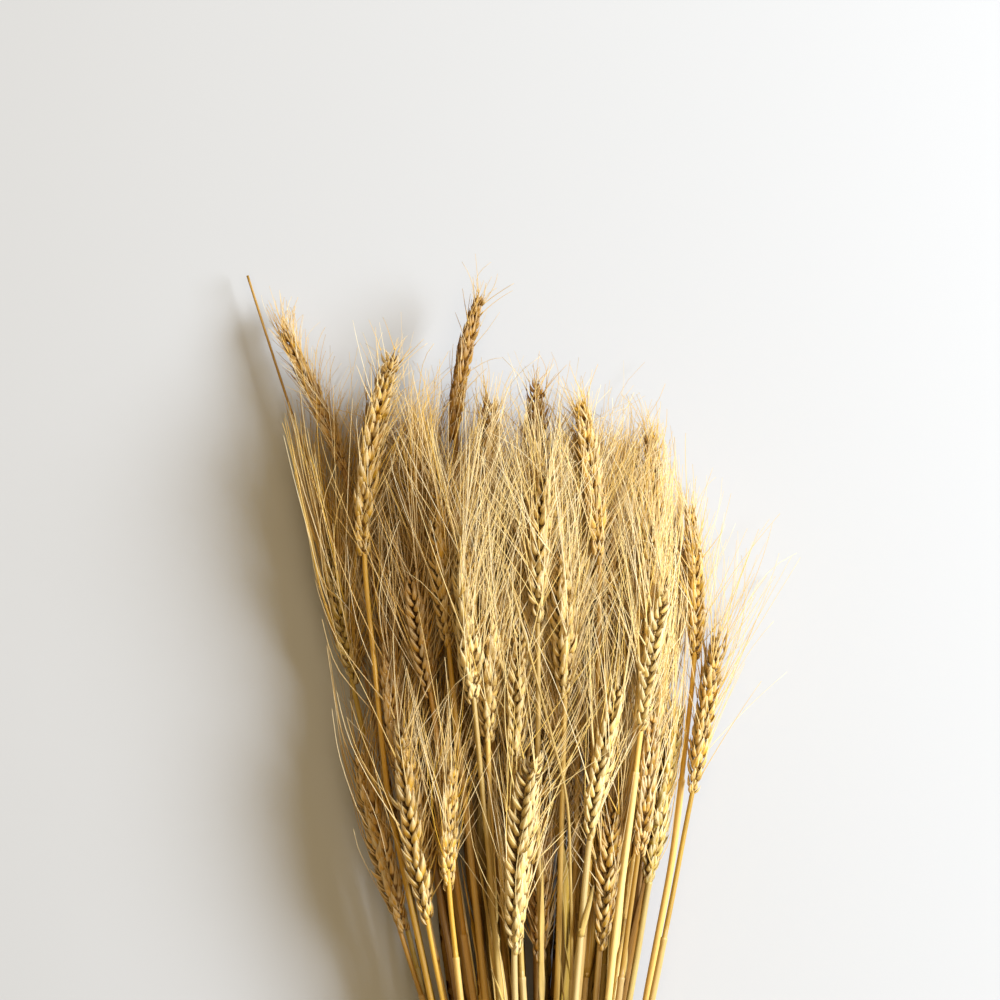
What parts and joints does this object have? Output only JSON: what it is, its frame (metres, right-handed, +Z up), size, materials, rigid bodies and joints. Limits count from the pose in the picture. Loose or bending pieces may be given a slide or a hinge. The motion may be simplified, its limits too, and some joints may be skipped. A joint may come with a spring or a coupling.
{
  "type": "bundle of dried wheat",
  "caption": "Bundle of dried bearded wheat, tied round its straws with twine and lying down, ears fanned out flat underneath and domed on top.",
  "frame": {"origin": "on the surface that the bundle lies on, under the middle of its bounding box", "axes": "+Y from the cut ends to the ears, +X across the bundle, +Z up from the surface"},
  "size_m": [0.232, 0.594, 0.0919],
  "materials": {
    "straw_golden": "dry straw, golden",
    "straw_pale": "dry straw, bleached pale",
    "straw_brown": "dry straw, ripe brown",
    "straw_olive": "dry straw, still faintly green",
    "tie_twine": "rough plant-fibre twine"
  },
  "bodies": {
    "root": {"tie": "tie_twine", "stalk_left_outermost": "straw_brown", "stalk_left_front_large": "straw_golden", "stalk_left_edge": "straw_olive", "stalk_left_mid_high": "straw_golden", "stalk_left_mid_low": "straw_brown", "stalk_left_dark": "straw_brown", "stalk_left_brown_low": "straw_brown", "stalk_left_front_low": "straw_golden", "stalk_left_slim_low": "straw_golden", "stalk_topmost": "straw_golden", "stalk_high_spread": "straw_golden", "stalk_high_blunt": "straw_brown", "stalk_centre_left_high": "straw_golden", "stalk_centre_bright": "straw_pale", "stalk_centre_behind": "straw_golden", "stalk_centre_high": "straw_pale", "stalk_centre_left_low": "straw_pale", "stalk_centre_low": "straw_pale", "stalk_centre_right": "straw_pale", "stalk_centre_hidden_low": "straw_olive", "stalk_front_pale": "straw_pale", "stalk_front_dark_low": "straw_brown", "stalk_high_kernelled": "straw_golden", "stalk_high_right_hidden": "straw_pale", "stalk_high_right_slim": "straw_golden", "stalk_high_right_back": "straw_olive", "stalk_high_right_golden": "straw_golden", "stalk_right_pale_high": "straw_pale", "stalk_right_pale_low": "straw_pale", "stalk_right_front": "straw_pale", "stalk_right_kernelled": "straw_brown", "stalk_right_back_low": "straw_pale", "stalk_right_low": "straw_golden", "stalk_right_low_behind": "straw_olive", "stalk_right_olive_low": "straw_olive", "stalk_right_upper": "straw_golden", "stalk_right_outermost": "straw_golden", "stalk_bare_left": "straw_brown", "stalk_bare_front": "straw_pale", "stalk_hidden_01": "straw_golden", "stalk_hidden_02": "straw_brown", "stalk_hidden_03": "straw_olive", "stalk_hidden_04": "straw_golden", "stalk_hidden_05": "straw_brown", "stalk_hidden_06": "straw_olive", "stalk_hidden_07": "straw_golden", "stalk_hidden_08": "straw_brown", "stalk_hidden_09": "straw_olive", "stalk_hidden_10": "straw_golden", "stalk_hidden_11": "straw_brown", "stalk_hidden_straw_1": "straw_brown", "stalk_hidden_straw_2": "straw_olive", "stalk_hidden_straw_3": "straw_golden", "stalk_hidden_straw_4": "straw_brown", "stalk_hidden_straw_5": "straw_olive", "stalk_hidden_straw_6": "straw_golden", "stalk_hidden_straw_7": "straw_brown"}
  },
  "joints": []
}
